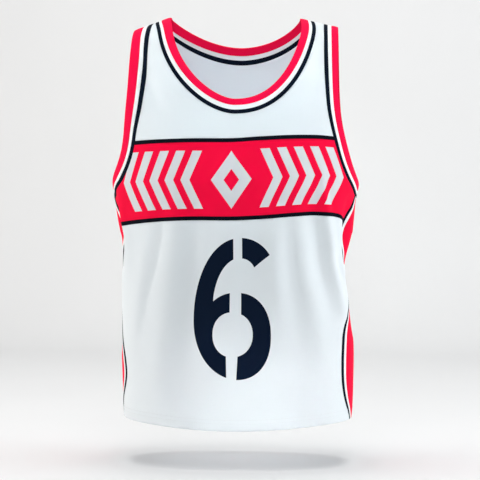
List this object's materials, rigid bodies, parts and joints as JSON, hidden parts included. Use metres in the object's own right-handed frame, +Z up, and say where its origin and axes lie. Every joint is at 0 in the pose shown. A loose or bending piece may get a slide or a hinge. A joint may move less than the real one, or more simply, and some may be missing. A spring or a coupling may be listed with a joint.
{
  "type": "reversible lacrosse jersey",
  "caption": "Sleeveless reversible lacrosse jersey in its worn, filled-out shape: open neck, armholes and hem, ribbed edges, chest band, curved side inserts.",
  "frame": {"origin": "midway between the two shoulder straps, at the middle of their height, where a wearer's shoulders carry the jersey", "axes": "+Z up, +X to the viewer's right when the front is seen, -Y out of the chest"},
  "size_m": [0.44, 0.2262, 0.7258],
  "materials": {
    "white_cloth": "white polyester mesh knit, matt with a faint sheen",
    "red_cloth": "crimson polyester mesh knit, matt with a faint sheen",
    "red_rib": "crimson rib knit binding, matt",
    "white_stripe": "white knit stripe, matt",
    "navy_stripe": "near-black navy knit stripe, matt",
    "navy_tape": "near-black navy woven tape, matt"
  },
  "bodies": {
    "root": {"armhole_rib_l": "red_rib", "armhole_rib_r": "red_rib", "armhole_stripe_navy_l": "navy_stripe", "armhole_stripe_navy_r": "navy_stripe", "armhole_stripe_white_l": "white_stripe", "armhole_stripe_white_r": "white_stripe", "back_panel": "white_cloth", "front_band": "red_cloth", "front_lower": "white_cloth", "front_yoke": "white_cloth", "neck_rib": "red_rib", "neck_stripe_navy": "navy_stripe", "neck_stripe_white": "white_stripe", "side_navy_back_l": "navy_stripe", "side_navy_back_r": "navy_stripe", "side_navy_front_l": "navy_stripe", "side_navy_front_r": "navy_stripe", "side_panel_l": "red_cloth", "side_panel_r": "red_cloth", "side_white_back_l": "white_stripe", "side_white_back_r": "white_stripe", "side_white_front_l": "white_stripe", "side_white_front_r": "white_stripe", "tape_bottom": "navy_tape", "tape_top": "navy_tape"}
  },
  "joints": []
}
